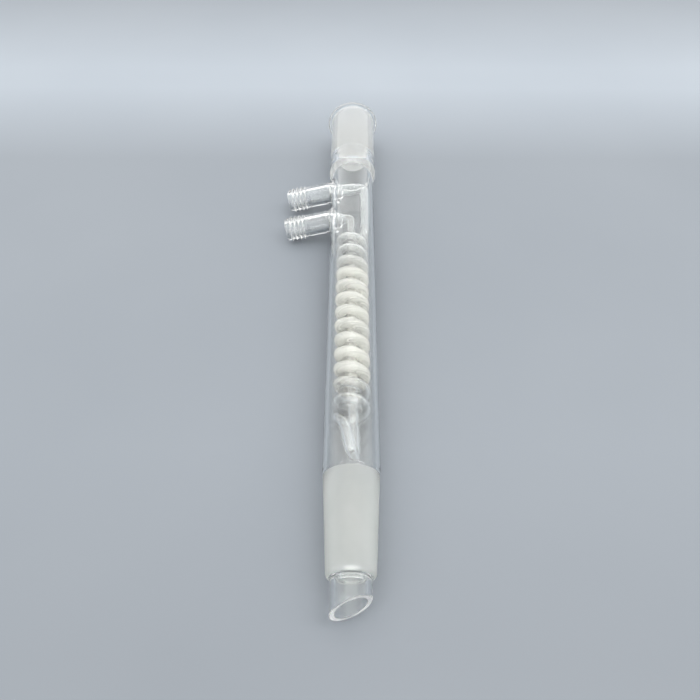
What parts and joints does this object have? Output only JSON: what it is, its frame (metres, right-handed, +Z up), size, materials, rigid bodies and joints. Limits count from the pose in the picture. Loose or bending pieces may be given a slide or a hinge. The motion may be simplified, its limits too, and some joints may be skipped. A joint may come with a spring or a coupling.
{
  "type": "coil condenser",
  "caption": "Clear glass reflux condenser: jacket with a cooling coil inside, ground socket on top, ground cone with a bevelled drip tip below, and threaded hose arms.",
  "frame": {"origin": "centre of the bounding box's base, on the bench that the condenser lies on", "axes": "+Y runs along the condenser towards its ground socket, 0.77 degrees below the glass axis, which rises to the wider rim; +X points away from the hose arms; +Z is up from the bench"},
  "size_m": [0.0552, 0.3154, 0.0316],
  "materials": {
    "clear_glass": "clear, fire-polished",
    "coil_glass": "clear, fire-polished, thin-walled",
    "socket_glass": "clear outside, ground frosted bore",
    "ground_glass": "ground frosted outside"
  },
  "bodies": {
    "root": {"socket_joint": "socket_glass", "shoulder": "clear_glass", "jacket_tube": "clear_glass", "cone_joint": "ground_glass", "drip_tip": "clear_glass", "upper_hose_arm": "clear_glass", "lower_hose_arm": "clear_glass", "upper_ring_seal": "clear_glass", "lower_ring_seal": "clear_glass", "upper_cross_tube": "clear_glass", "riser_tube": "clear_glass", "lower_cross_tube": "clear_glass", "centre_tube": "clear_glass", "coil": "coil_glass", "u_bend": "clear_glass"}
  },
  "joints": []
}
